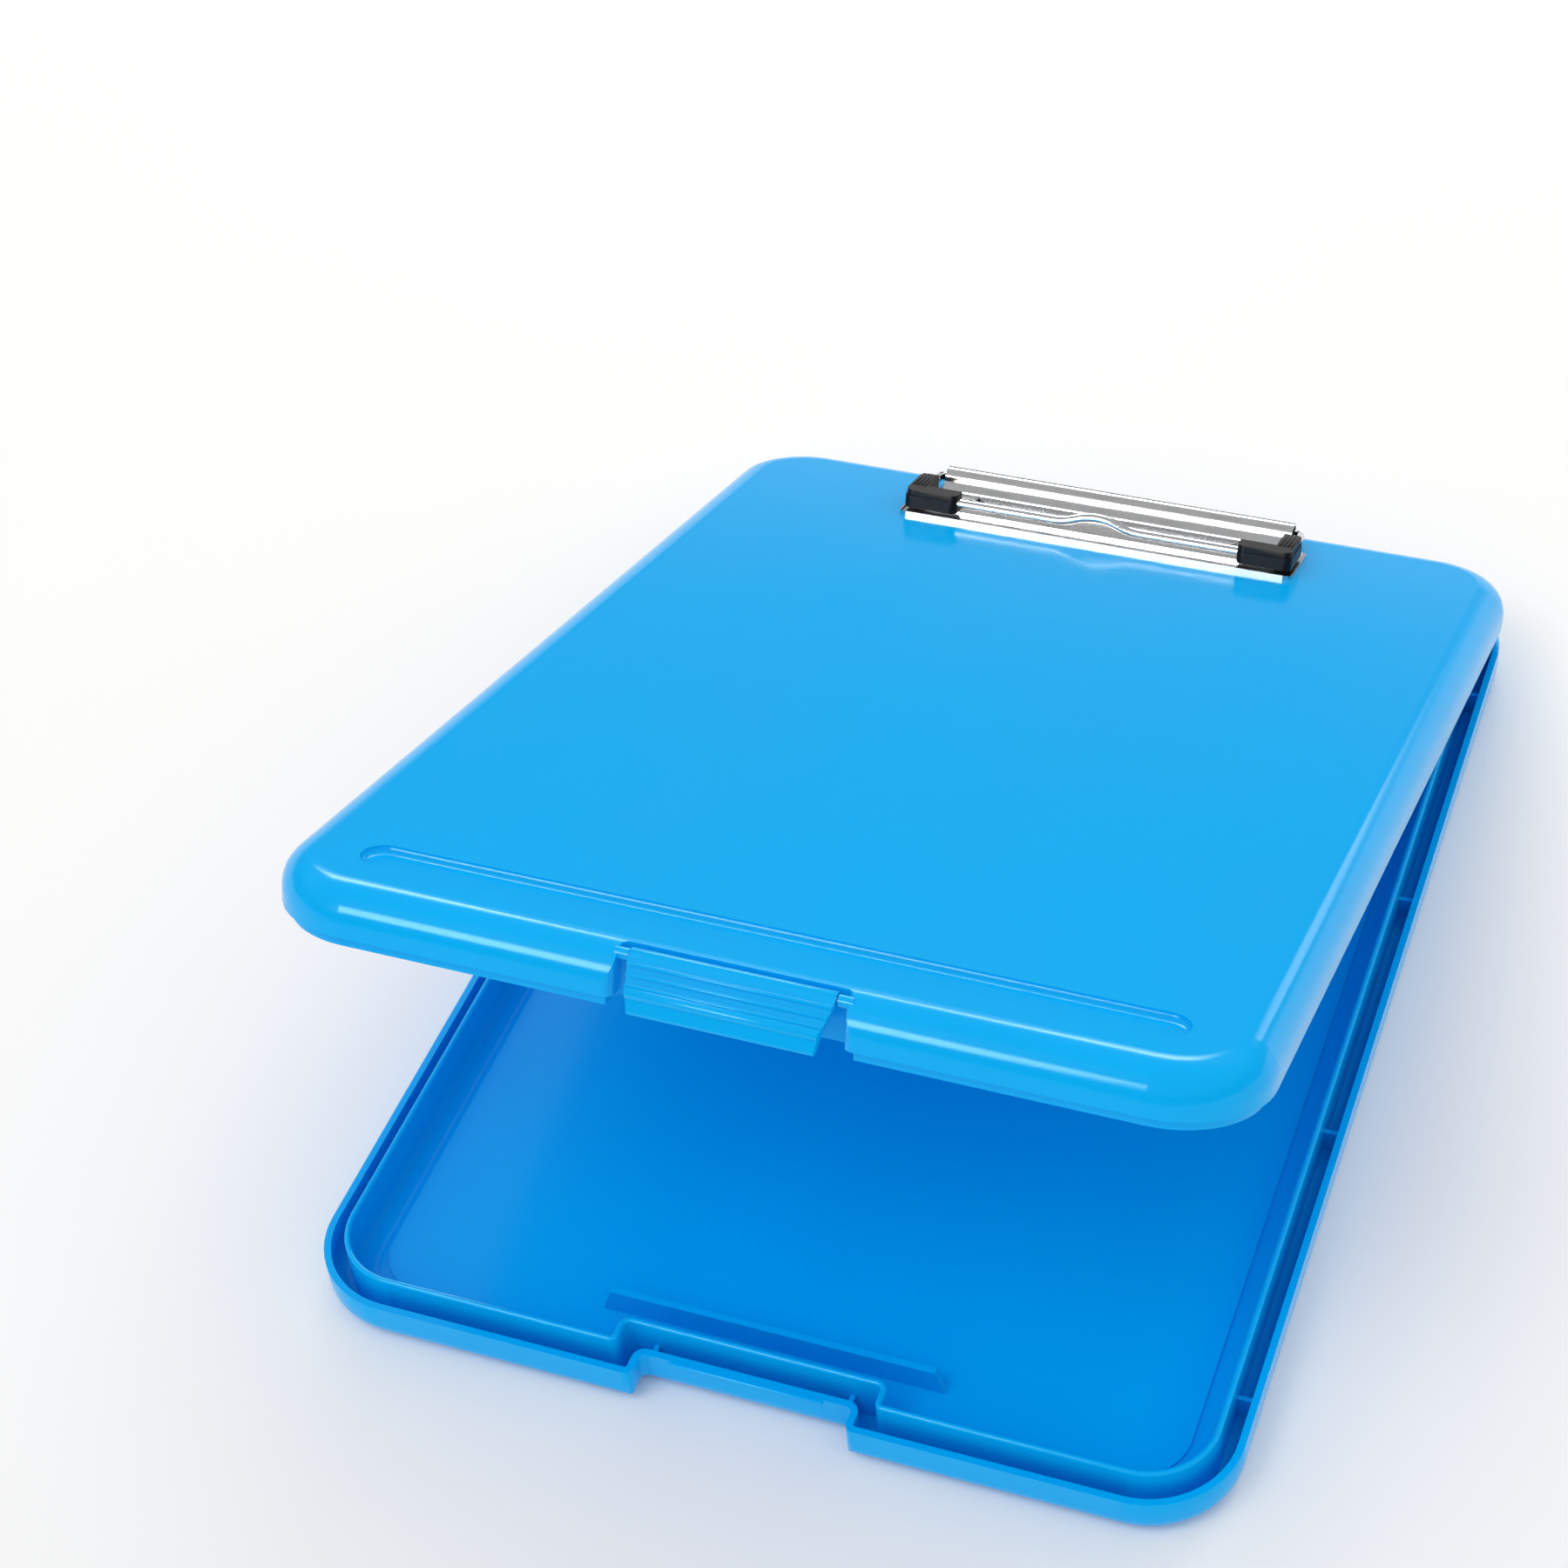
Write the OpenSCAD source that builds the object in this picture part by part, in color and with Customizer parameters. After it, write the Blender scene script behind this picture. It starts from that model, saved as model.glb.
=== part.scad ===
// Storage clipboard box: a shallow tray under a hinged lid, with a wire clip riveted to the lid.
// +Z is up, +X is right, and the front with the latch faces -Y. The origin is the centre of the
// tray's underside. Lid pieces are drawn closed and then turned open about the hinge.

/* [Body] */
// Width of the box, side to side
box_w = 241; // [220:1:280]
// Depth of the box, front edge to hinge edge
box_d = 343; // [320:1:380]
// Corner radius of the outline
corner_r = 24; // [20:0.5:28]
// Thickness of the outer walls
wall = 1.8; // [1.6:0.1:2.2]
// Thickness of the flat panels
panel_t = 2; // [1.6:0.1:2.4]

/* [Tray] */
// Height of the tray's outer wall
tray_h = 12; // [11:0.5:16]
// Radius of the tray's lower edge
tray_edge_r = 5.5; // [4:0.5:6]
// Width of the channel between the outer and the inner wall
channel_w = 4; // [3.6:0.1:5]
// Thickness of the inner wall
inner_t = 1.6; // [1.2:0.1:2]
// How far the inner wall stands above the outer one
inner_rise = 4; // [2:0.5:5]
// Radius of the cove at the foot of the inner wall
cove_r = 5; // [3:0.5:6]
// Gap from the outline to the raised floor
platform_inset = 14; // [13:0.5:20]
// Height of the raised floor
platform_h = 0.8; // [0.4:0.1:1.5]
// Corner radius of the raised floor
platform_r = 14; // [8:1:20]
// Distance from the front edge to the middle of the pen wall
pen_wall_from_front = 24.5; // [22:0.5:40]
// Length of the pen wall
pen_wall_l = 86; // [60:1:120]
// Thickness of the pen wall
pen_wall_t = 1.8; // [1.2:0.1:3]
// Height of the pen wall above the floor
pen_wall_h = 8; // [5:0.5:9]
// Thickness of the small ribs in the channel
rib_t = 1.2; // [0.8:0.1:2]
// Distance between the ribs along each side
rib_pitch = 88; // [70:1:95]

/* [Notch] */
// Width of the finger notch at the front
notch_w = 55.4; // [54:0.2:70]
// Depth of the finger notch
notch_d = 6.8; // [6.6:0.1:9]
// Radius of the notch's two inner corners
notch_corner_r = 1.6; // [0.5:0.1:2]
// Radius at the mouth of the notch
notch_mouth_r = 2.4; // [2:0.1:3]

/* [Lid] */
// Height of the lid's outer wall
lid_h = 12; // [12:0.5:16]
// Radius of the lid's upper edge
lid_edge_r = 8.5; // [6:0.5:9]
// Depth of the tongue that reaches into the tray's channel
tongue_h = 3; // [2:0.5:4]
// Thickness of the tongue
tongue_t = 1.3; // [1:0.1:1.5]
// Length of the pencil groove
groove_l = 201.5; // [150:0.5:204]
// Width of the pencil groove
groove_w = 11.4; // [8:0.2:14]
// Depth of the pencil groove
groove_depth = 1.8; // [1:0.1:2.5]
// Distance from the front edge to the middle of the pencil groove
groove_from_front = 21.4; // [20:0.2:40]
// Angle at which the lid stands open
lid_open = 19.5; // [0:0.5:140]

/* [Hinge] */
// Length of the whole hinge
hinge_l = 176.7; // [140:0.1:180]
// Number of knuckles, an odd number
knuckles = 7; // [5:2:9]
// Radius of the knuckles
knuckle_r = 1.9; // [1.8:0.05:2]
// Radius of the hinge pin
pin_r = 0.8; // [0.6:0.05:0.9]

/* [Latch] */
// Width of the latch at its pivot
latch_w = 49.4; // [44:0.2:50]
// How much narrower each side of the latch is at its lip
latch_taper = 2.6; // [0:0.1:4]
// Length of the latch plate from its pivot to the finger ridge
latch_l = 9; // [8.6:0.1:11]
// Thickness of the latch plate
latch_t = 1.8; // [1.5:0.1:2]
// Radius of the latch barrel
latch_barrel_r = 1.9; // [1.8:0.05:2]
// Radius of the latch pin
latch_pin_r = 0.7; // [0.5:0.05:0.8]
// Angle between the latch plate and the lip that hooks in under the catch
lip_angle = 30; // [25:1:45]
// Width of the catch on the tray
catch_w = 40; // [20:1:42]
// Angle at which the latch stands off the front
latch_open = 42; // [0:1:85]

/* [Clip] */
// Width of the clip's base plate
plate_w = 121.4; // [110:0.1:130]
// Depth of the flat part of the base plate
plate_d = 22.8; // [22:0.1:28]
// Thickness of the sheet steel
sheet_t = 0.8; // [0.6:0.05:1]
// Width of the rolled barrel
barrel_w = 109; // [100:0.5:112]
// Outer radius of the rolled barrel
barrel_r = 3.4; // [3.2:0.1:3.8]
// Radius of the hollow where the sheet rises to the barrel
rise_r = 4; // [3:0.5:5]
// Distance from the hinge edge to the middle of the barrel
barrel_from_back = 14.1; // [13:0.1:20]
// Gap from the base plate's edge to its raised panel
emboss_inset = 5.6; // [5.4:0.1:7]
// Height of the raised panel above the rest of the sheet
emboss_h = 0.8; // [0.5:0.1:1]
// Width of the turned-up rim round the base plate
rim_w = 0.6; // [0.4:0.1:0.8]
// Height of the turned-up rim above the sheet
rim_h = 0.4; // [0.2:0.1:0.5]
// Radius of the bail's wire
wire_r = 1.4; // [1.2:0.05:1.5]
// Length of each leg of the rubber grips
grip_l = 16.6; // [14:0.1:20]
// Width of each leg of the rubber grips
grip_w = 5.8; // [5:0.1:7]
// Height of the rubber grips
grip_h = 5.6; // [5:0.1:6.5]
// Distance between the two rivets
rivet_spacing = 87.8; // [75:0.1:92]
// Radius of the rivet's head
rivet_head_r = 3.6; // [3.2:0.1:4]
// Radius of the rivet's shank
rivet_r = 2.2; // [1.8:0.1:2.4]
// Radius of the washers under the lid
washer_r = 5; // [4:0.1:6]

/* [Hidden] */
$fn = 64;

fit = 0.05;          // running clearance of a pin in its bore
gap = 0.3;           // clearance between pieces that pass each other
overlap = 0.01;      // how far a cut runs past the face it opens
far = 400;           // longer than any side

channel_out = wall + channel_w;             // inset of the inner wall's outer face
inner_in = channel_out + inner_t;           // inset of the inner wall's inner face
inner_top = tray_h + inner_rise;
closed_h = tray_h + lid_h;
lid_under = closed_h - panel_t;             // underside of the lid's panel
tongue_out = wall + gap;                    // inset of the tongue's outer face
tongue_in = tongue_out + tongue_t;
front_y = -box_d / 2;
back_y = box_d / 2;
notch_y = front_y + notch_d;
pen_wall_y = front_y + pen_wall_from_front;
groove_y = front_y + groove_from_front;
pen_wall_foot = 3;                          // how far each end of the pen wall slopes out
notch_rib_in = 2;                           // from the notch's side to the rib behind it

inner_corner_r = 1.4;                       // channel side of the inner wall, at the notch's back
inner_turn_r = 0.6;                         // storage side of the inner wall, at the notch's mouth
ledge_t = 1.6;                              // the lid's ledge that carries the tongue

knuckle_pitch = hinge_l / knuckles;
knuckle_gap = 0.4;                          // between neighbouring knuckles
web_h = 3.8;                                // height of the web behind each knuckle
web_touch = acos(knuckle_r / web_h);        // where the web meets the knuckle

latch_y = notch_y - gap - latch_barrel_r;   // pivot axis of the latch
latch_sink = 0.4;                           // the barrel's top lies just under the lid's
latch_z = closed_h - latch_sink - latch_barrel_r;
latch_face = latch_y - latch_barrel_r;      // outer face of the latch plate
latch_ribs = 3;
latch_rib_pitch = 2.5;
latch_rib_r = 0.55;
latch_ridge_r = 1.4;
latch_ridge_out = 0.8;                      // how far the finger ridge stands off the plate
boss_r = 1.5;                               // bosses beside the latch
lip_y = latch_face + latch_t / 2;           // the lip turns in at the middle of the plate
lip_z = latch_z - latch_l;
lip_end_y = notch_y - gap - latch_t / 2;
lip_l = (lip_end_y - lip_y) / sin(lip_angle);
lip_end_z = lip_z - lip_l * cos(lip_angle);
catch_r = 0.5;                              // the catch is a bead on the notch's wall
catch_out = 0.3;                            // how far the bead's middle stands off that wall
catch_y = notch_y - catch_out;
catch_z = lip_end_z + (latch_t / 2 + gap + catch_r - (catch_y - lip_end_y) * cos(lip_angle))
          / sin(lip_angle);

barrel_y = back_y - barrel_from_back;
barrel_z = closed_h + barrel_r;
barrel_in = barrel_r - sheet_t;             // inner radius of the barrel
rise_z = closed_h + sheet_t + rise_r;       // middle of the hollow rise
rise_y = barrel_y - sqrt(pow(barrel_r + rise_r, 2) - pow(rise_z - barrel_z, 2));
rise_end = atan2(barrel_z - rise_z, barrel_y - rise_y);
plate_back = rise_y;
plate_front = plate_back - plate_d;
rivet_from_rise = 8.1;
rivet_y = plate_back - rivet_from_rise;
rivet_dish_r = 5.85;                        // the dish pressed round each rivet
plate_corner_r = 2.6;
emboss_r = 1.6;                             // corners of the raised panel
panel_back = 1;                             // flat sheet between the panel and the rise
panel_top = closed_h + sheet_t + emboss_h;
rivet_hollow_r = 1.1;
rivet_head_h = 1.1;
rivet_ring_w = 0.7;                         // the ring turned into the rivet's head
rivet_ring_h = 0.35;
rivet_tail_r = rivet_r + 0.8;
rivet_tail_h = 0.8;
rivet_low = lid_under - 1.8;                // lower end of the rivets
washer_t = 0.8;
seam_w = 0.5;                               // open seam of the barrel
seam_angle = 300;

grip_side = 0.9;                            // how far the plate shows beside the grips
grip_ahead = 1.9;                           // how far the plate shows in front of the grips
grip_x = plate_w / 2 - grip_side;           // outer side of the grips
grip_front = plate_front + grip_ahead;      // front side of the grips
grip_base = panel_top + gap;
grip_r = 2.2;
grip_step = 0.35;                           // the grip's upper part is a step smaller
grip_step_h = 0.68 * grip_h;                // height of that step
grip_ribs = 4;
grip_rib_r = 0.35;
wire_z = grip_base + grip_h / 2;            // height of the bail's front bar
bail_x = grip_x - grip_w / 2;               // side bars of the bail
bail_front = grip_front + grip_w / 2;       // front bar of the bail
bail_reach = sqrt(pow(barrel_y - bail_front, 2) + pow(barrel_z - wire_z, 2));
bail_tilt = asin((barrel_z - wire_z) / bail_reach);
bail_r = 2.2;                               // bends of the bail
shaft_in = 40;                              // how far each bail end reaches into the barrel
shaft_end = barrel_w / 2 - shaft_in;
bend_swell = 0.03;                          // a drawn wire swells a little where a bend begins
wave_r = 18;
wave_a = 22;
wave_half = 2 * wave_r * sin(wave_a);       // length of half of the raised wave

spring_wire_r = 0.35;
spring_r = wire_r + 2 * fit + spring_wire_r;
spring_turns = 10;
spring_cover = 4;                           // how far the spring reaches over each shaft
spring_l = 2 * (shaft_end + spring_cover);

plastic = [0.0, 0.62, 0.93];
steel = [0.78, 0.79, 0.81];
rubber = [0.08, 0.08, 0.09];

// ---- plan and section shapes ---------------------------------------------------------------

// Runs a section round the outline. The section's x is the inset from the outline, its y the height.
module around() {
    for (side = [0, 180]) {
        rotate(side) {
            for (corner = [-1, 1])
                translate([corner * (box_w / 2 - corner_r), front_y + corner_r])
                    rotate(corner < 0 ? 180 : 270)
                        rotate_extrude(angle = 90)
                            translate([corner_r, 0]) mirror([1, 0]) children();
            translate([box_w / 2 - corner_r, front_y, 0])
                rotate([90, 0, -90]) linear_extrude(box_w - 2 * corner_r)
                    mirror([1, 0]) children();
            translate([box_w / 2, back_y - corner_r, 0])
                rotate([90, 0, 0]) linear_extrude(box_d - 2 * corner_r)
                    mirror([1, 0]) children();
        }
    }
}

// A plate that fills the outline inside the corners, between two heights.
module middle(low, high) {
    inner_w = box_w - 2 * corner_r;
    inner_d = box_d - 2 * corner_r;
    translate([-inner_w / 2, -inner_d / 2, low]) cube([inner_w, inner_d, high - low]);
}

// A block as wide as the corner radius, with its lower outer edge rounded.
module edge_block(height, r) {
    difference() {
        square([corner_r, height]);
        cove(r);
    }
}

// The concave cove that fills an inner corner at the origin.
module cove(r) {
    difference() {
        square(r);
        translate([r, r]) circle(r);
    }
}

// A rectangle with round corners, about the origin.
module round_rect(w, d, r) {
    square([w - 2 * r, d], center = true);
    square([w, d - 2 * r], center = true);
    for (x = [-1, 1], y = [-1, 1])
        translate([x * (w / 2 - r), y * (d / 2 - r)]) circle(r);
}

// Plan of the finger notch, grown by an offset on its three sides. The round corners at its back and
// at its mouth keep to that offset.
module notch_plan(grow) {
    r = notch_corner_r + grow;
    ear = max(notch_mouth_r - grow, 0);
    half = notch_w / 2 + grow;
    ahead = front_y - corner_r;
    translate([-half, ahead]) square([2 * half, notch_y + grow - r - ahead]);
    translate([r - half, ahead]) square([2 * (half - r), notch_y + grow - ahead]);
    for (side = [0, 1])
        mirror([side, 0]) {
            translate([half - r, notch_y + grow - r]) circle(r);
            if (ear > 0)
                difference() {
                    translate([half - ear, ahead]) square([2 * ear, corner_r + grow + ear]);
                    translate([half + ear, front_y + grow + ear]) circle(ear);
                }
        }
}

// A wall that follows the notch, between two offsets.
module notch_wall(from, to, low, high) {
    translate([0, 0, low]) linear_extrude(high - low)
        difference() {
            notch_plan(to);
            notch_plan(from);
        }
}

// Runs a section round the notch, from a place in Y on. The section's x is the distance from the
// notch's face beyond an offset, its y is the height, and r is the back corners' radius there.
module around_notch(offset_in, r, from_y) {
    edge_x = notch_w / 2 + offset_in;
    edge_y = notch_y + offset_in;
    for (side = [0, 1])
        mirror([side, 0, 0]) {
            translate([edge_x, edge_y - r, 0]) rotate([90, 0, 0])
                linear_extrude(edge_y - r - from_y) children();
            translate([edge_x - r, edge_y - r, 0]) rotate_extrude(angle = 90)
                translate([r, 0]) children();
        }
    translate([0, edge_y, 0]) along_x(r - edge_x, edge_x - r) children();
}

// The notch's space above a height. Its foot spreads out, like the tray's lower edge.
module notch_space(grow, low, foot_r) {
    translate([0, 0, low - 1]) linear_extrude(far) notch_plan(grow);
    translate([0, 0, low]) around_notch(grow, notch_corner_r + grow, front_y - corner_r) {
        cove(foot_r);
        translate([-overlap, -1]) square([overlap, foot_r + 1]);
        translate([-overlap, -1]) square([foot_r + overlap, 1]);
    }
}

// A bar along X from one place to another, with its section in Y and Z.
module along_x(from, to) {
    translate([from, 0, 0]) rotate([90, 0, 90]) linear_extrude(to - from) children();
}

module rod_x(from, to, r) {
    translate([from, 0, 0]) rotate([0, 90, 0]) cylinder(r = r, h = to - from);
}

// ---- poses ---------------------------------------------------------------------------------

module at_hinge() {
    translate([0, back_y, tray_h]) children();
}

// Turns a lid piece from closed to open.
module opened() {
    at_hinge() rotate([-lid_open, 0, 0]) translate([0, -back_y, -tray_h]) children();
}

// Turns a latch piece off the front of the lid.
module unlatched() {
    translate([0, latch_y, latch_z]) rotate([-latch_open, 0, 0])
        translate([0, -latch_y, -latch_z]) children();
}

// ---- hinge ---------------------------------------------------------------------------------

// Even knuckles belong to the tray, odd ones to the lid.
function knuckle_from(i) = -hinge_l / 2 + i * knuckle_pitch;

module knuckle_section() {
    circle(knuckle_r);
    polygon([[0, 0], [0, -web_h],
             [knuckle_r * sin(web_touch), -knuckle_r * cos(web_touch)]]);
}

module hinge_knuckles(first, upward) {
    for (i = [first : 2 : knuckles - 1])
        at_hinge() mirror([0, 0, upward ? 1 : 0])
            along_x(knuckle_from(i) + knuckle_gap / 2, knuckle_from(i + 1) - knuckle_gap / 2)
                knuckle_section();
}

// Room for the other leaf's knuckles.
module hinge_relief(first) {
    for (i = [first : 2 : knuckles - 1])
        at_hinge() rod_x(knuckle_from(i) - knuckle_gap / 2, knuckle_from(i + 1) + knuckle_gap / 2,
                         knuckle_r + gap);
}

module hinge_bore() {
    at_hinge() rod_x(-hinge_l / 2 - 1, hinge_l / 2 + 1, pin_r + fit);
}

module hinge_pin() {
    color(steel) at_hinge() rod_x(-hinge_l / 2, hinge_l / 2, pin_r);
}

// ---- tray ----------------------------------------------------------------------------------

// The tray's full outer form, without its inside.
module tray_block() {
    around() edge_block(tray_h, tray_edge_r);
    middle(0, tray_h);
}

module tray_hollow() {
    around() intersection() {
        translate([wall, panel_t]) edge_block(tray_h, tray_edge_r - wall);
        square([corner_r, 2 * tray_h]);
    }
    middle(panel_t, tray_h + panel_t);
}

// Section of the inner wall: its round top, and the cove at its foot on the storage side.
module inner_wall_section() {
    translate([0, panel_t / 2]) square([inner_t, inner_top - inner_t / 2 - panel_t / 2]);
    translate([inner_t / 2, inner_top - inner_t / 2]) circle(inner_t / 2);
}

module inner_cove_section() {
    translate([inner_t, panel_t]) cove(cove_r);
    translate([inner_t / 2, panel_t / 2]) square([inner_t / 2, cove_r]);
}

// The inner wall follows the outline, and turns in round the notch.
module inner_wall() {
    notch_half = notch_w / 2 + inner_in;
    turn_y = front_y + inner_in + inner_turn_r;
    difference() {
        around() translate([channel_out, 0]) {
            inner_wall_section();
            inner_cove_section();
        }
        translate([-notch_half - inner_turn_r, front_y, -1])
            cube([2 * (notch_half + inner_turn_r), inner_in, far]);
        translate([-notch_half + inner_t / 4, front_y, -1])
            cube([2 * notch_half - inner_t / 2, corner_r, far]);
    }
    around_notch(channel_out, inner_corner_r, turn_y) inner_wall_section();
    around_notch(channel_out, inner_corner_r, front_y + inner_in) inner_cove_section();
    for (side = [0, 1])
        mirror([side, 0, 0]) translate([notch_half + inner_turn_r, turn_y]) rotate(180)
            rotate_extrude(angle = 90) translate([inner_turn_r + inner_t, 0]) mirror([1, 0])
                inner_wall_section();
}

// Low ribs that tie the outer wall to the inner one.
module channel_ribs() {
    rib_h = tray_h - tongue_h - gap - panel_t;
    for (side = [-1, 1], i = [-1.5 : 1 : 1.5])
        translate([side * (box_w - wall - channel_out) / 2, i * rib_pitch, (panel_t + rib_h) / 2])
            cube([channel_w + wall, rib_t, rib_h + panel_t], center = true);
    for (side = [-1, 1])
        translate([side * (notch_w / 2 - notch_rib_in) - rib_t / 2, notch_y + wall / 2, panel_t / 2])
            cube([rib_t, channel_w + wall, rib_h + panel_t / 2]);
}

// The ends of the pen wall slope out to the floor.
module pen_wall() {
    top = pen_wall_h + panel_t / 2;
    translate([0, pen_wall_y + pen_wall_t / 2, panel_t / 2]) rotate([90, 0, 0])
        linear_extrude(pen_wall_t)
            polygon([[-pen_wall_l / 2 - pen_wall_foot, 0], [pen_wall_l / 2 + pen_wall_foot, 0],
                     [pen_wall_l / 2, top], [-pen_wall_l / 2, top]]);
}

module raised_floor() {
    linear_extrude(panel_t + platform_h)
        round_rect(box_w - 2 * platform_inset, box_d - 2 * platform_inset, platform_r);
}

// The bead on the notch's wall that the latch's lip hooks under.
module latch_catch() {
    along_x(-catch_w / 2, catch_w / 2) {
        translate([catch_y, catch_z]) circle(catch_r);
        translate([catch_y, catch_z - catch_r]) square([notch_y - catch_y + wall / 2, 2 * catch_r]);
    }
}

module tray() {
    color(plastic) {
        difference() {
            union() {
                difference() {
                    tray_block();
                    difference() {
                        tray_hollow();
                        notch_space(wall, panel_t, tray_edge_r - wall);
                    }
                    hinge_relief(1);
                }
                inner_wall();
                intersection() {
                    channel_ribs();
                    tray_block();
                }
                raised_floor();
                pen_wall();
                hinge_knuckles(0, false);
            }
            notch_space(0, 0, tray_edge_r);
            hinge_bore();
        }
        latch_catch();
    }
}

// ---- lid -----------------------------------------------------------------------------------

// Draws in heights measured down from the top of the closed box.
module from_top() {
    translate([0, 0, closed_h]) mirror([0, 0, 1]) children();
}

module lid_section() {
    difference() {
        edge_block(lid_h, lid_edge_r);
        translate([wall, panel_t]) edge_block(lid_h, lid_edge_r - wall);
    }
    translate([wall / 2, lid_h - ledge_t]) square([tongue_in - wall / 2, ledge_t]);
    translate([tongue_out, lid_h - ledge_t]) square([tongue_t, ledge_t + tongue_h]);
}

// The lid's full outer form, down to the tongue's lower edge.
module lid_block() {
    around() edge_block(lid_h + tongue_h, lid_edge_r);
    middle(0, lid_h + tongue_h);
}

// Half a section of the pencil groove: flat in the middle, with a round side.
module groove_section(half, depth) {
    square([half - depth, depth]);
    intersection() {
        translate([half - depth, 0]) circle(depth);
        square([half, depth]);
    }
}

module groove(grow) {
    half = groove_w / 2 + grow;
    depth = groove_depth + grow;
    straight = groove_l - groove_w;
    translate([0, groove_y, 0])
        for (side = [0, 180])
            rotate(side) {
                translate([straight / 2, 0, 0]) rotate(-90)
                    rotate_extrude(angle = 180) groove_section(half, depth);
                along_x(-straight / 2, straight / 2) groove_section(half, depth);
            }
}

// Bosses on the notch's two sides that carry the latch pin.
module latch_bosses() {
    from = latch_w / 2 + gap;
    for (side = [0, 1])
        mirror([side, 0, 0]) translate([0, latch_y, latch_z])
            rod_x(from, notch_w / 2 + wall / 2, boss_r);
}

module latch_bore() {
    reach = notch_w / 2 + wall;
    translate([0, latch_y, latch_z]) rod_x(-reach, reach, latch_pin_r + fit);
}

module rivet_holes(r) {
    for (side = [-1, 1])
        translate([side * rivet_spacing / 2, rivet_y, lid_under - panel_t])
            cylinder(r = r, h = 4 * panel_t);
}

module lid_body() {
    difference() {
        union() {
            difference() {
                union() {
                    from_top() around() lid_section();
                    from_top() middle(0, panel_t);
                    from_top() groove(1);
                }
                hinge_relief(0);
            }
            intersection() {
                union() {
                    notch_wall(0, wall, tray_h, closed_h);
                    notch_wall(0, tongue_in, tray_h, tray_h + ledge_t);
                    notch_wall(tongue_out, tongue_in, tray_h - tongue_h, tray_h + ledge_t);
                }
                from_top() lid_block();
            }
            hinge_knuckles(1, true);
        }
        linear_extrude(far) notch_plan(0);
        linear_extrude(tray_h) notch_plan(tongue_out);
        translate([-notch_w, front_y, 0]) cube([2 * notch_w, tongue_out, tray_h]);
        from_top() translate([0, 0, -overlap]) groove(0);
        hinge_bore();
        rivet_holes(rivet_r + fit);
    }
    latch_bosses();
}

module lid() {
    color(plastic) opened() difference() {
        lid_body();
        latch_bore();
    }
}

// ---- latch ---------------------------------------------------------------------------------

// Section of the latch: barrel, ribbed plate, finger ridge, and the lip that turns in.
module latch_section() {
    translate([latch_y, latch_z]) circle(latch_barrel_r);
    translate([latch_face, lip_z]) square([latch_t, latch_l]);
    for (i = [1 : latch_ribs])
        translate([latch_face, latch_z - i * latch_rib_pitch]) circle(latch_rib_r);
    translate([latch_face - latch_ridge_out + latch_ridge_r, lip_z]) circle(latch_ridge_r);
    translate([lip_y, lip_z]) rotate(lip_angle) {
        translate([-latch_t / 2, -lip_l]) square([latch_t, lip_l]);
        translate([0, -lip_l]) circle(latch_t / 2);
    }
}

// Front view of the latch: straight at the barrel, then narrower towards the lip.
module latch_outline() {
    top = latch_z + latch_barrel_r + 1;
    low = lip_end_z - latch_t;
    polygon([[-latch_w / 2, top], [-latch_w / 2, latch_z - latch_barrel_r],
             [latch_taper - latch_w / 2, low], [latch_w / 2 - latch_taper, low],
             [latch_w / 2, latch_z - latch_barrel_r], [latch_w / 2, top]]);
}

module latch() {
    color(plastic) opened() unlatched() difference() {
        intersection() {
            along_x(-latch_w, latch_w) latch_section();
            translate([0, notch_y, 0]) rotate([90, 0, 0]) linear_extrude(4 * notch_d)
                latch_outline();
        }
        translate([0, latch_y, latch_z]) rod_x(-latch_w, latch_w, latch_pin_r + fit);
    }
}

module latch_pin() {
    reach = notch_w / 2 + wall - fit;
    color(steel) opened() translate([0, latch_y, latch_z]) rod_x(-reach, reach, latch_pin_r);
}

// ---- clip ----------------------------------------------------------------------------------

// Section of the rolled barrel and the hollow rise that joins it to the plate.
module barrel_section() {
    difference() {
        translate([barrel_y, barrel_z]) circle(barrel_r);
        translate([barrel_y, barrel_z]) circle(barrel_in);
        translate([barrel_y, barrel_z]) rotate(seam_angle) square([2 * barrel_r, seam_w]);
    }
    intersection() {
        difference() {
            translate([rise_y, rise_z]) circle(rise_r + sheet_t);
            translate([rise_y, rise_z]) circle(rise_r);
        }
        polygon([[rise_y, rise_z], [rise_y, rise_z - 2 * rise_r],
                 [barrel_y, barrel_z - barrel_r],
                 [rise_y + (rise_r + sheet_t) * cos(rise_end) + overlap,
                  rise_z + (rise_r + sheet_t) * sin(rise_end)]]);
    }
}

// Plan of the raised panel, drawn in by an inset. It ends where the sheet rises to the barrel.
module panel_plan(inset) {
    w = plate_w - 2 * (emboss_inset + inset);
    d = plate_d - emboss_inset - panel_back - 2 * inset;
    translate([0, (emboss_inset - panel_back) / 2]) round_rect(w, d, emboss_r);
}

// The sheet: a flat border with a turned-up rim, and a panel pressed up so that it is hollow below.
module plate_form() {
    difference() {
        union() {
            linear_extrude(sheet_t) round_rect(plate_w, plate_d, plate_corner_r);
            translate([-barrel_w / 2, 0, 0]) cube([barrel_w, plate_d / 2, sheet_t]);
            linear_extrude(sheet_t + rim_h) difference() {
                round_rect(plate_w, plate_d, plate_corner_r);
                translate([0, rim_w]) square([plate_w - 2 * rim_w, plate_d], center = true);
            }
            linear_extrude(sheet_t + emboss_h) panel_plan(0);
        }
        translate([0, 0, -sheet_t]) linear_extrude(sheet_t + emboss_h) panel_plan(sheet_t);
    }
}

// The dish round each rivet goes back down to the lid.
module at_rivets() {
    for (side = [-1, 1]) translate([side * rivet_spacing / 2, rivet_y, closed_h]) children();
}

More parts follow.
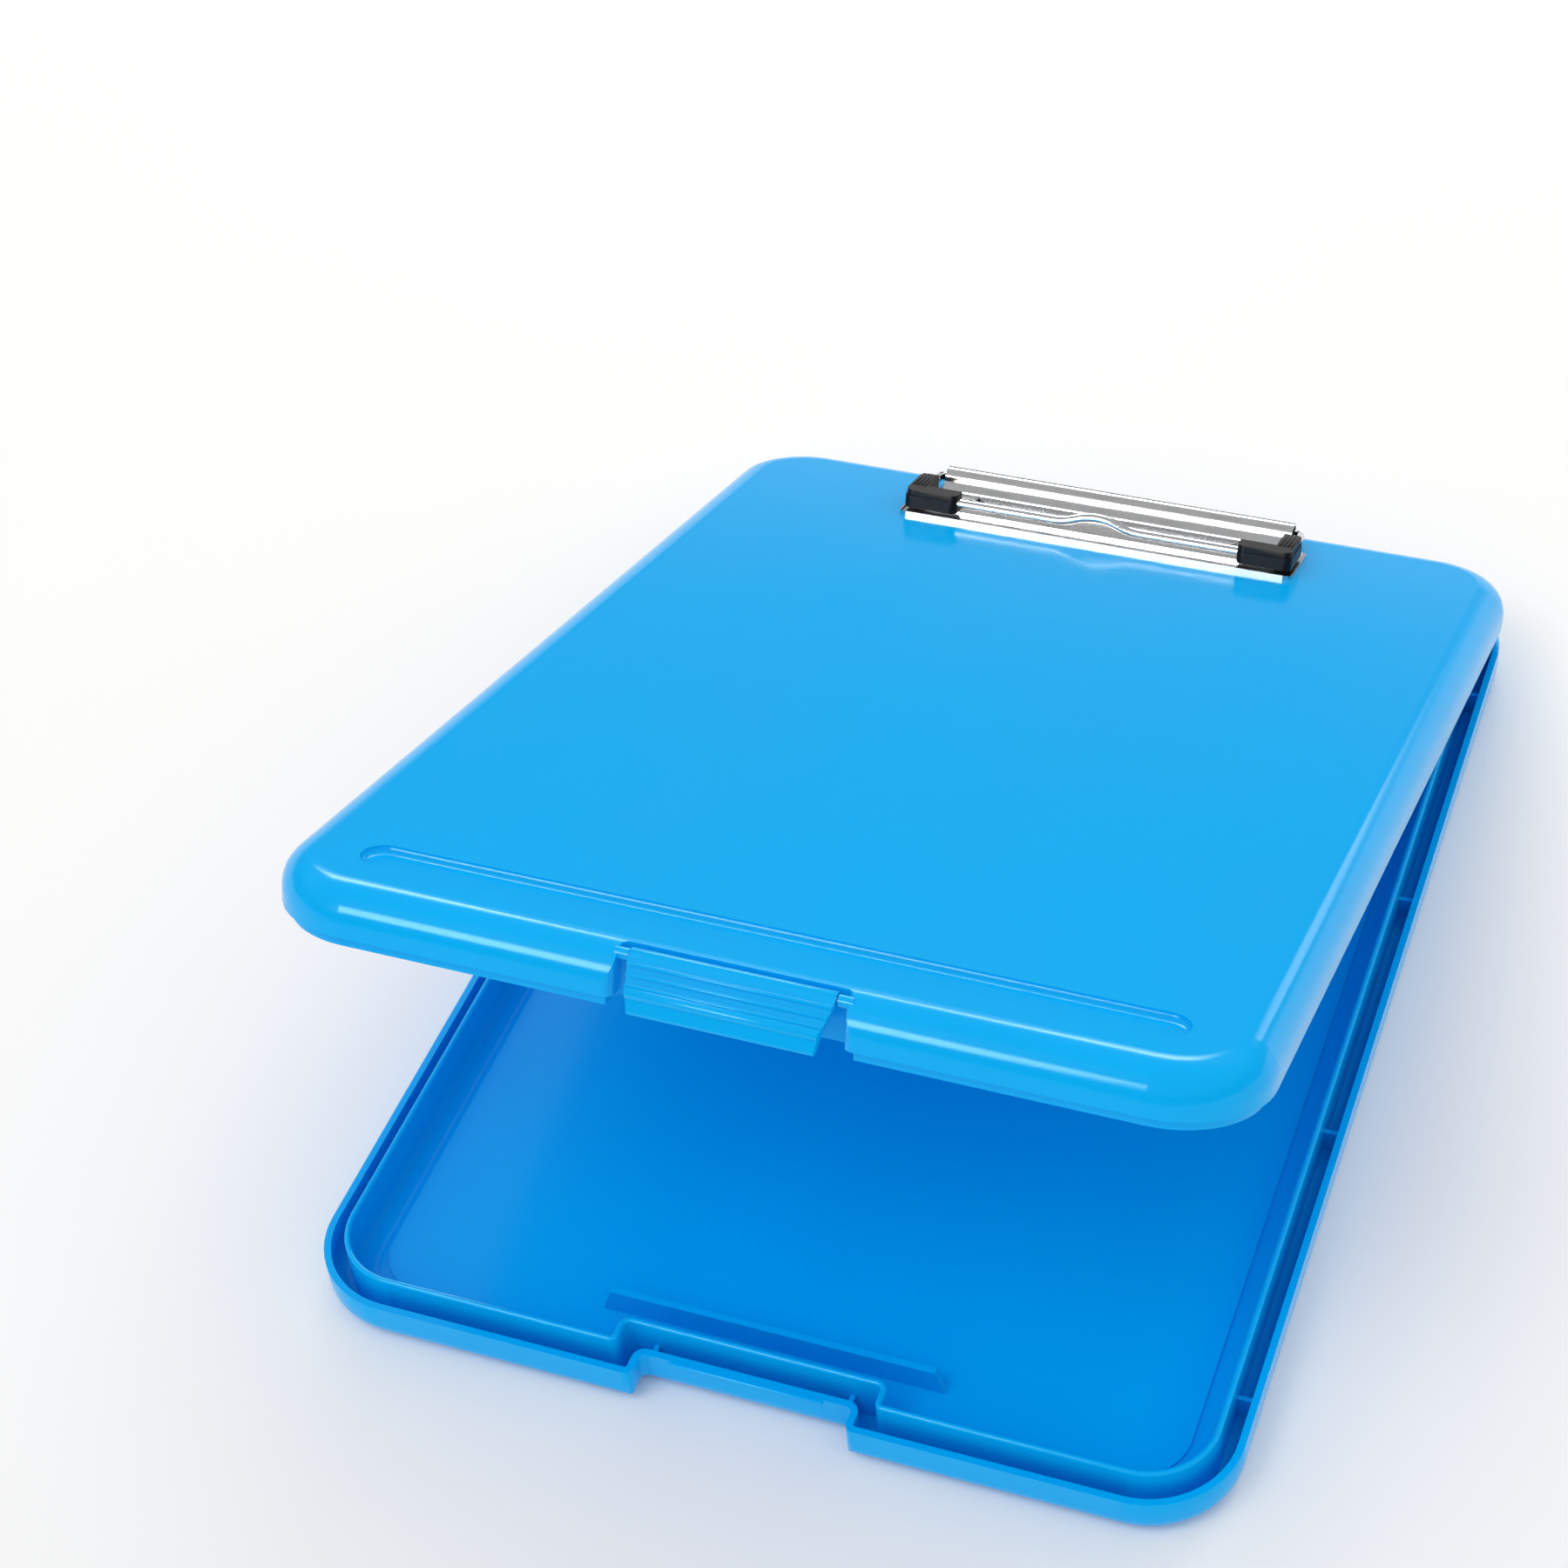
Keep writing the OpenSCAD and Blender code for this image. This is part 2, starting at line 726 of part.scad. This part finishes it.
module clip_plate() {
    dish_low_r = rivet_dish_r - emboss_h / 2;
    color(steel) opened() difference() {
        union() {
            along_x(-barrel_w / 2, barrel_w / 2) barrel_section();
            translate([0, (plate_front + plate_back) / 2, closed_h]) plate_form();
            at_rivets() cylinder(r = rivet_dish_r + sheet_t / 2, h = sheet_t + emboss_h);
        }
        at_rivets() translate([0, 0, sheet_t])
            cylinder(r1 = dish_low_r, r2 = rivet_dish_r + emboss_h / 2, h = 2 * emboss_h);
        rivet_holes(rivet_r + fit);
    }
}

// A round bar bent to an arc about the origin, from one direction to another.
module arc_rod(r, bend, from, to) {
    rotate(from) rotate_extrude(angle = to - from) translate([bend, 0]) circle(r);
}

// The bail is bent from one wire: two shafts in the barrel, two arms, and a waved front bar. It
// lies in one plane, which is tilted down from the barrel to the front bar.
module bail_plane() {
    translate([0, barrel_y, barrel_z]) rotate([bail_tilt, 0, 0]) children();
}

module bail_side(r) {
    bail_plane() {
        rod_x(shaft_end, bail_x - bail_r, r);
        translate([bail_x - bail_r, -bail_r]) arc_rod(r, bail_r, 0, 90);
        translate([bail_x, -bail_r]) rotate([90, 0, 0]) cylinder(r = r, h = bail_reach - 2 * bail_r);
        translate([bail_x - bail_r, bail_r - bail_reach]) arc_rod(r, bail_r, 270, 360);
        translate([0, -bail_reach]) {
            rod_x(wave_half, bail_x - bail_r, r);
            // the front bar bends up into the wave
            rotate([90, 0, 0]) translate([wave_half, wave_r]) {
                arc_rod(r, wave_r, 270 - wave_a, 270);
                for (a = [270 - wave_a, 270]) rotate(a) translate([wave_r, 0]) sphere(r + bend_swell);
            }
        }
    }
}

module bail_crest(r) {
    crest = 2 * wave_r * (1 - cos(wave_a));
    bail_plane() translate([0, -bail_reach]) rotate([90, 0, 0]) translate([0, crest - wave_r])
        arc_rod(r, wave_r, 90 - wave_a, 90 + wave_a);
}

module clip_bail() {
    color(steel) opened() {
        bail_crest(wire_r);
        bail_side(wire_r);
        mirror([1, 0, 0]) bail_side(wire_r);
    }
}

// A torsion spring inside the barrel, wound over the inner ends of the bail's shafts. Each half turn
// is a half ring, tilted so that it meets the next one end to end.
module bail_spring() {
    step = spring_l / (2 * spring_turns);
    ring_r = sqrt(pow(spring_r, 2) + pow(step / 2, 2));
    tilt = atan2(spring_r, -step / 2);
    $fn = 24;
    color(steel) opened() translate([-spring_l / 2, barrel_y, barrel_z]) {
        for (i = [0 : 2 * spring_turns - 1])
            translate([(i + 0.5) * step, 0, 0])
                rotate([i % 2 == 0 ? 90 : -90, 0, i % 2 == 0 ? tilt : -tilt])
                    rotate_extrude(angle = 180) translate([ring_r, 0]) circle(spring_wire_r);
        for (i = [0 : 2 * spring_turns])
            translate([i * step, i % 2 == 0 ? spring_r : -spring_r, 0])
                sphere(spring_wire_r + bend_swell);
    }
}

// Plan of a grip: an L with round corners, drawn in by an inset on its two outer sides.
module grip_plan(inset) {
    side = grip_l - inset;
    difference() {
        translate([side / 2, inset + side / 2]) round_rect(side, side, grip_r);
        translate([-1, grip_w]) square([grip_l - grip_w + 1, grip_l]);
    }
}

module grip_body() {
    translate([grip_x - grip_l, grip_front, grip_base]) {
        linear_extrude(grip_step_h) grip_plan(0);
        linear_extrude(grip_h) grip_plan(grip_step);
    }
}

// Fine ribs along the top of the grip's longer leg.
module grip_ribs() {
    for (i = [1 : grip_ribs])
        translate([grip_x - grip_step / 2 - i * grip_w / (grip_ribs + 1), grip_front + grip_w,
                   grip_base + grip_h])
            rotate([-90, 0, 0]) cylinder(r = grip_rib_r, h = grip_l - grip_w - grip_r / 2);
}

module grip() {
    difference() {
        union() {
            grip_body();
            grip_ribs();
        }
        bail_side(wire_r + fit);
    }
}

module right_grip() {
    color(rubber) opened() grip();
}

module left_grip() {
    color(rubber) opened() mirror([1, 0, 0]) grip();
}

// A tubular rivet: a round head with a ring turned into it, a shank, and a flared tail.
module rivet() {
    seat = closed_h + sheet_t;
    top = seat + rivet_head_h;
    difference() {
        union() {
            translate([0, 0, rivet_low]) cylinder(r = rivet_r, h = top - rivet_low);
            translate([0, 0, rivet_low]) cylinder(r = rivet_tail_r, h = rivet_tail_h);
            translate([0, 0, seat]) rotate_extrude() {
                square([rivet_head_r - rivet_head_h / 2, rivet_head_h]);
                translate([rivet_head_r - rivet_head_h / 2, rivet_head_h / 2])
                    circle(rivet_head_h / 2);
            }
        }
        cylinder(r = rivet_hollow_r, h = far);
        translate([0, 0, top - rivet_ring_h]) difference() {
            cylinder(r = rivet_r + rivet_ring_w / 2, h = far);
            cylinder(r = rivet_r - rivet_ring_w / 2, h = far);
        }
    }
}

module rivets() {
    color(steel) opened()
        for (side = [-1, 1]) translate([side * rivet_spacing / 2, rivet_y, 0]) rivet();
}

module rivet_washers() {
    color(steel) opened()
        for (side = [-1, 1])
            translate([side * rivet_spacing / 2, rivet_y, lid_under - washer_t - fit]) difference() {
                cylinder(r = washer_r, h = washer_t);
                translate([0, 0, -1]) cylinder(r = rivet_r + fit, h = washer_t + 2);
            }
}

tray();
lid();
hinge_pin();
latch();
latch_pin();
clip_plate();
clip_bail();
bail_spring();
left_grip();
right_grip();
rivets();
rivet_washers();
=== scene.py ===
"""Storage clipboard box: finishes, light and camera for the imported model."""
import math

import bpy
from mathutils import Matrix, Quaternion, Vector

MM = 0.001

# Camera, in metres and degrees: it sees the open box from its front right, from well above.
CAMERA_PLACE = (0.2257, -0.6125, 0.6768)
CAMERA_TARGET = (-0.0243, -0.0520, 0.1034)
CAMERA_ROLL = 5.64
CAMERA_LENS = 77.16
SENSOR = 36.0

# Colours, in linear light.
BLUE = (0.0, 0.440, 0.965)
BLUE_DEEP = (0.0, 0.425, 0.940)
CHROME = (0.70, 0.71, 0.72)
STEEL = (0.60, 0.61, 0.63)
RUBBER = (0.004, 0.004, 0.005)
FLOOR = (0.955, 0.957, 0.96)

WHITE = (1, 1, 1, 1)

# Blue plastic. The roughness follows the flow of the melt, and scratches and grain add to it.
PLASTIC_ROUGH = (0.13, 0.16)
PLASTIC_SCRATCHED = 0.05
PLASTIC_GRAIN = 0.02
PLASTIC_IOR = 1.49
PLASTIC_SPECULAR = 0.28
PLASTIC_TINT = (0.55, 0.88, 1.0, 1.0)
PEEL_DEPTH = 0.01 * MM
GRAIN_DEPTH = 0.004 * MM
PLASTIC_BUMP = 0.4

# Steel: how rough it is between its clear and its cloudy parts, and how strong the brushing is.
CHROME_ROUGH = (0.10, 0.20)
CHROME_BRUSH = 0.35
DRAWN_ROUGH = (0.24, 0.38)
DRAWN_BRUSH = 0.8
STEEL_SCRATCHED = 0.12
STEEL_DULL = 0.82
BRUSH_DEPTH = 0.01 * MM

# Rubber.
RUBBER_ROUGH = (0.32, 0.44)
RUBBER_SPECULAR = 0.25
RUBBER_RUBBED = 2.6
RUBBER_DEPTH = 0.015 * MM
RUBBER_BUMP = 0.5

# The noise levels between which a scratch shows.
SCRATCH_EDGE = (0.70, 0.76)

# The floor: its side, its roughness, how much darker its clouds are, and the distances from the
# middle at which it starts to turn into the white background and has done so, in metres.
FLOOR_SIZE = 8
FLOOR_ROUGH = 0.7
FLOOR_CLOUD = 0.985
FLOOR_DEPTH = 0.03 * MM
FLOOR_BUMP = 0.3
FLOOR_FADE = (0.22, 0.80)

# The even light of the room, a little warm. Mirrors see white at the horizon, a grey band over it
# and a paler ceiling: (sine of the height above the horizon, strength).
AMBIENT = 0.82
AMBIENT_COLOUR = (1.0, 0.985, 0.955, 1)
MIRRORED = ((0.003, 0.90), (0.025, 0.12), (0.32, 0.12), (0.52, 0.50))

# Lamps: name, place, what it points at, width and height, strength, and whether only gloss shows
# it. The front card, and the back card with its halo, draw the bands on the lid's front roll, and
# the side card draws the line along the lid's right side.
MIDDLE = (0, 0, 0.05)
FRONT_ROLL = (0, -0.17, 0.13)
RIGHT_ROLL = (0.1, 0, 0.08)
LAMPS = (
    ("key", (-0.80, -1.20, 2.20), MIDDLE, (1.1, 1.1), 2.6, False),
    ("back", (0.20, 1.90, 1.80), MIDDLE, (1.6, 0.8), 2.4, False),
    ("front_card", (-0.95, -2.20, 1.80), FRONT_ROLL, (1.10, 0.85), 17, True),
    ("back_card", (-0.80, 2.05, 1.50), FRONT_ROLL, (1.60, 0.45), 9, True),
    ("back_halo", (-0.82, 2.10, 1.52), FRONT_ROLL, (1.90, 0.90), 4, True),
    ("side_card", (0.55, 2.40, 0.42), RIGHT_ROLL, (0.55, 0.26), 3, True),
)

# Rounding of sharp edges: how near two corners are joined first, which edges count as sharp, in
# degrees, and how wide each piece's rounding is. The lid has none, as it draws lines on its panel.
JOINED = 0.002 * MM
SHARP = 35
ROUND_STEPS = 2
EDGES = {"tray": 0.35 * MM, "latch": 0.25 * MM, "left_grip": 0.35 * MM, "right_grip": 0.35 * MM}


# ---- materials ---------------------------------------------------------------------------------


class Shader:
    """A new material with its nodes, and short ways to add and join more."""

    def __init__(self, name):
        self.material = bpy.data.materials.new(name)
        self.material.use_nodes = True
        self.nodes = self.material.node_tree.nodes
        self.links = self.material.node_tree.links
        self.bsdf = self.nodes["Principled BSDF"]
        self.place = self.add("ShaderNodeTexCoord").outputs["Object"]

    def add(self, kind, **settings):
        node = self.nodes.new(kind)
        for key, value in settings.items():
            setattr(node, key, value)
        return node

    def put(self, value, socket):
        """Links a socket, or sets a plain value."""
        if hasattr(value, "is_linked"):
            self.links.new(value, socket)
        else:
            socket.default_value = value

    def stretched(self, scale):
        """The object's coordinates, in metres, times a scale along each axis."""
        mapping = self.add("ShaderNodeMapping")
        self.put(self.place, mapping.inputs["Vector"])
        mapping.inputs["Scale"].default_value = scale
        return mapping.outputs["Vector"]

    def noise(self, size, detail=3.0, roughness=0.5, stretch=(1, 1, 1)):
        """Noise whose lumps are about size metres across."""
        node = self.add("ShaderNodeTexNoise")
        self.put(self.stretched([s / size for s in stretch]), node.inputs["Vector"])
        node.inputs["Scale"].default_value = 1.0
        node.inputs["Detail"].default_value = detail
        node.inputs["Roughness"].default_value = roughness
        return node.outputs["Fac"]

    def ramp(self, value, low, high, out_low, out_high):
        """Maps low..high of a value to out_low..out_high, and holds it there beyond."""
        node = self.add("ShaderNodeMapRange")
        self.put(value, node.inputs["Value"])
        node.inputs["From Min"].default_value = low
        node.inputs["From Max"].default_value = high
        node.inputs["To Min"].default_value = out_low
        node.inputs["To Max"].default_value = out_high
        return node.outputs["Result"]

    def math(self, operation, a, b):
        node = self.add("ShaderNodeMath", operation=operation)
        self.put(a, node.inputs[0])
        self.put(b, node.inputs[1])
        return node.outputs["Value"]

    def mix(self, factor, a, b):
        node = self.add("ShaderNodeMix", data_type="RGBA")
        self.put(factor, node.inputs["Factor"])
        self.put((*a, 1) if isinstance(a, tuple) else a, node.inputs["A"])
        self.put((*b, 1) if isinstance(b, tuple) else b, node.inputs["B"])
        return node.outputs["Result"]

    def bump(self, height, depth, strength=1.0, under=None):
        """Bump whose height runs over depth metres."""
        node = self.add("ShaderNodeBump")
        self.put(height, node.inputs["Height"])
        node.inputs["Distance"].default_value = depth
        node.inputs["Strength"].default_value = strength
        if under is not None:
            self.put(under, node.inputs["Normal"])
        return node.outputs["Normal"]

    def finish(self, **sockets):
        for name, value in sockets.items():
            self.put(value, self.bsdf.inputs[name.replace("_", " ")])
        return self.material


def scratches(shader, length, width, turn):
    """Fine hairline scratches along one direction: 1 in a scratch, 0 outside."""
    mapping = shader.add("ShaderNodeMapping")
    shader.put(shader.place, mapping.inputs["Vector"])
    mapping.inputs["Rotation"].default_value = (0, 0, math.radians(turn))
    mapping.inputs["Scale"].default_value = (1 / length, 1 / width, 1 / length)
    node = shader.add("ShaderNodeTexNoise")
    shader.put(mapping.outputs["Vector"], node.inputs["Vector"])
    node.inputs["Scale"].default_value = 1.0
    node.inputs["Detail"].default_value = 1.0
    return shader.ramp(node.outputs["Fac"], *SCRATCH_EDGE, 0.0, 1.0)


def blue_plastic():
    """Moulded blue plastic: satin gloss, with a fine grain, faint flow marks and hairline scratches."""
    s = Shader("blue_plastic")
    flow = s.noise(60 * MM, detail=2, stretch=(1, 0.5, 1))
    grain = s.noise(0.5 * MM, detail=2)
    peel = s.noise(9 * MM, detail=1)
    marks = s.math("MAXIMUM", scratches(s, 30 * MM, 0.25 * MM, 20), scratches(s, 22 * MM, 0.2 * MM, -55))
    colour = s.mix(s.ramp(flow, 0.35, 0.65, 0.0, 1.0), BLUE, BLUE_DEEP)
    scratched = s.math("MULTIPLY", marks, PLASTIC_SCRATCHED)
    rough = s.math("ADD", s.ramp(flow, 0.3, 0.7, *PLASTIC_ROUGH), scratched)
    rough = s.math("ADD", rough, s.ramp(grain, 0.3, 0.7, -PLASTIC_GRAIN, PLASTIC_GRAIN))
    normal = s.bump(peel, PEEL_DEPTH, PLASTIC_BUMP)
    normal = s.bump(grain, GRAIN_DEPTH, PLASTIC_BUMP, under=normal)
    material = s.finish(Base_Color=colour, Roughness=rough, Normal=normal)
    s.bsdf.inputs["IOR"].default_value = PLASTIC_IOR
    s.bsdf.inputs["Specular IOR Level"].default_value = PLASTIC_SPECULAR
    s.bsdf.inputs["Specular Tint"].default_value = PLASTIC_TINT
    return material


def plated_steel(name, colour, roughness, brush):
    """Bright plated or drawn steel with fine brushing along X and cloudy wear."""
    s = Shader(name)
    cloud = s.noise(9 * MM, detail=4, roughness=0.6)
    lines = s.noise(0.35 * MM, detail=2, stretch=(0.02, 1, 1))
    marks = scratches(s, 9 * MM, 0.12 * MM, 70)
    scratched = s.math("MULTIPLY", marks, STEEL_SCRATCHED)
    rough = s.math("ADD", s.ramp(cloud, 0.35, 0.7, *roughness), scratched)
    dull = tuple(c * STEEL_DULL for c in colour)
    tint = s.mix(s.ramp(cloud, 0.45, 0.75, 0.0, 1.0), colour, dull)
    normal = s.bump(lines, BRUSH_DEPTH, brush)
    return s.finish(Base_Color=tint, Metallic=1.0, Roughness=rough, Normal=normal)


def black_rubber():
    """Satin moulded rubber with a fine grain and paler rubbed patches."""
    s = Shader("black_rubber")
    grain = s.noise(0.25 * MM, detail=3)
    rub = s.noise(5 * MM, detail=4, roughness=0.65)
    pale = tuple(c * RUBBER_RUBBED for c in RUBBER)
    colour = s.mix(s.ramp(rub, 0.55, 0.75, 0.0, 1.0), RUBBER, pale)
    rough = s.ramp(rub, 0.3, 0.7, *RUBBER_ROUGH)
    normal = s.bump(grain, RUBBER_DEPTH, RUBBER_BUMP)
    s.bsdf.inputs["Specular IOR Level"].default_value = RUBBER_SPECULAR
    return s.finish(Base_Color=colour, Roughness=rough, Normal=normal)


def floor_material():
    """A pale matt table top. It keeps the object's shadow, and is seen as white farther away."""
    s = Shader("pale_floor")
    cloud = s.noise(0.25, detail=3)
    near = tuple(c * FLOOR_CLOUD for c in FLOOR)
    colour = s.mix(s.ramp(cloud, 0.3, 0.7, 0.0, 1.0), FLOOR, near)
    normal = s.bump(s.noise(1.5 * MM, detail=2), FLOOR_DEPTH, FLOOR_BUMP)
    material = s.finish(Base_Color=colour, Roughness=FLOOR_ROUGH, Normal=normal)
    radius = s.add("ShaderNodeVectorMath", operation="LENGTH")
    s.put(s.place, radius.inputs[0])
    path = s.add("ShaderNodeLightPath")
    seen = s.math("MAXIMUM", path.outputs["Is Camera Ray"], path.outputs["Is Glossy Ray"])
    seen = s.math("MAXIMUM", seen, path.outputs["Is Transmission Ray"])
    far = s.ramp(radius.outputs["Value"], *FLOOR_FADE, 0.0, 1.0)
    white = s.add("ShaderNodeEmission")
    join = s.add("ShaderNodeMixShader")
    s.put(s.math("MULTIPLY", far, seen), join.inputs["Fac"])
    s.put(s.bsdf.outputs["BSDF"], join.inputs[1])
    s.put(white.outputs["Emission"], join.inputs[2])
    s.put(join.outputs["Shader"], s.nodes["Material Output"].inputs["Surface"])
    return material


# ---- pieces ------------------------------------------------------------------------------------


def dress(node, material):
    """Gives a CAD node its material in every slot."""
    slots = node.data.materials
    if not slots:
        slots.append(material)
    for i in range(len(slots)):
        slots[i] = material


def soften(node, width):
    """Rounds a CAD node's sharp edges a little, as a mould or a press does."""
    weld = node.modifiers.new("joined_faces", "WELD")
    weld.merge_threshold = JOINED
    bevel = node.modifiers.new("soft_edges", "BEVEL")
    bevel.width = width
    bevel.segments = ROUND_STEPS
    bevel.limit_method = "ANGLE"
    bevel.angle_limit = math.radians(SHARP)
    bevel.harden_normals = True


def dress_nodes(nodes):
    plastic = blue_plastic()
    chrome = plated_steel("clip_chrome", CHROME, CHROME_ROUGH, CHROME_BRUSH)
    steel = plated_steel("drawn_steel", STEEL, DRAWN_ROUGH, DRAWN_BRUSH)
    rubber = black_rubber()
    finishes = {
        "tray": plastic, "lid": plastic, "latch": plastic,
        "clip_plate": chrome, "clip_bail": chrome, "rivets": chrome,
        "hinge_pin": steel, "latch_pin": steel, "bail_spring": steel, "rivet_washers": steel,
        "left_grip": rubber, "right_grip": rubber,
    }
    for name, material in finishes.items():
        dress(nodes[name], material)
    for name, width in EDGES.items():
        soften(nodes[name], width)


# ---- light, floor and camera -------------------------------------------------------------------


def add_floor():
    bpy.ops.mesh.primitive_plane_add(size=FLOOR_SIZE, location=(0, 0, 0))
    floor = bpy.context.object
    floor.name = "table_top"
    dress(floor, floor_material())


def add_light(name, place, target, size, strength, gloss):
    """An area lamp of a given radiance: a card that only gloss shows, or a lamp that it doesn't."""
    data = bpy.data.lights.new(name, "AREA")
    data.shape = "RECTANGLE"
    data.size, data.size_y = size
    data.energy = strength * math.pi * size[0] * size[1]
    lamp = bpy.data.objects.new(name, data)
    bpy.context.scene.collection.objects.link(lamp)
    lamp.location = place
    lamp.rotation_mode = "QUATERNION"
    lamp.rotation_quaternion = (Vector(target) - Vector(place)).to_track_quat("-Z", "Y")
    lamp.visible_diffuse = not gloss
    lamp.visible_glossy = gloss


def add_lights():
    for lamp in LAMPS:
        add_light(*lamp)


def add_world():
    """Even light on all sides, a white background, and a graded surround for mirrors."""
    world = bpy.data.worlds.new("studio")
    world.use_nodes = True
    bpy.context.scene.world = world
    tree = world.node_tree
    nodes, links = tree.nodes, tree.links
    even = nodes["Background"]
    even.inputs["Color"].default_value = AMBIENT_COLOUR
    even.inputs["Strength"].default_value = AMBIENT
    white = nodes.new("ShaderNodeBackground")
    white.inputs["Color"].default_value = WHITE
    place = nodes.new("ShaderNodeTexCoord")
    split = nodes.new("ShaderNodeSeparateXYZ")
    links.new(place.outputs["Generated"], split.inputs["Vector"])
    grade = nodes.new("ShaderNodeValToRGB")
    stops = grade.color_ramp.elements
    while len(stops) < len(MIRRORED):
        stops.new(0.5)
    for stop, (height, strength) in zip(stops, MIRRORED):
        stop.position = height
        stop.color = (strength, strength, strength, 1)
    links.new(split.outputs["Z"], grade.inputs["Fac"])
    mirrored = nodes.new("ShaderNodeBackground")
    links.new(grade.outputs["Color"], mirrored.inputs["Color"])
    path = nodes.new("ShaderNodeLightPath")
    below = even.outputs["Background"]
    seen_by = (("Is Glossy Ray", mirrored), ("Is Transmission Ray", white), ("Is Camera Ray", white))
    for ray, seen in seen_by:
        choose = nodes.new("ShaderNodeMixShader")
        links.new(path.outputs[ray], choose.inputs["Fac"])
        links.new(below, choose.inputs[1])
        links.new(seen.outputs["Background"], choose.inputs[2])
        below = choose.outputs["Shader"]
    links.new(below, nodes["World Output"].inputs["Surface"])


def add_camera():
    data = bpy.data.cameras.new("camera")
    data.lens = CAMERA_LENS
    data.sensor_width = SENSOR
    camera = bpy.data.objects.new("camera", data)
    bpy.context.scene.collection.objects.link(camera)
    camera.location = CAMERA_PLACE
    ahead = (Vector(CAMERA_TARGET) - Vector(CAMERA_PLACE)).normalized()
    roll = Quaternion(ahead, math.radians(CAMERA_ROLL))
    camera.rotation_mode = "QUATERNION"
    camera.rotation_quaternion = roll @ ahead.to_track_quat("-Z", "Y")
    bpy.context.scene.camera = camera


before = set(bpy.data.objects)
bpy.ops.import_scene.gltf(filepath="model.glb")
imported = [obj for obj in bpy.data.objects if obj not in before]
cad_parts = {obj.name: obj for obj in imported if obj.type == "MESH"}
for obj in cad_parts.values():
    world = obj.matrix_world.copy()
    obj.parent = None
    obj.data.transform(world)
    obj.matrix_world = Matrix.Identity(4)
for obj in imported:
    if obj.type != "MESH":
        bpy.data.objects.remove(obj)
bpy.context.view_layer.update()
dress_nodes(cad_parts)
add_floor()
add_lights()
add_world()
add_camera()
bpy.context.scene.view_settings.view_transform = "Standard"
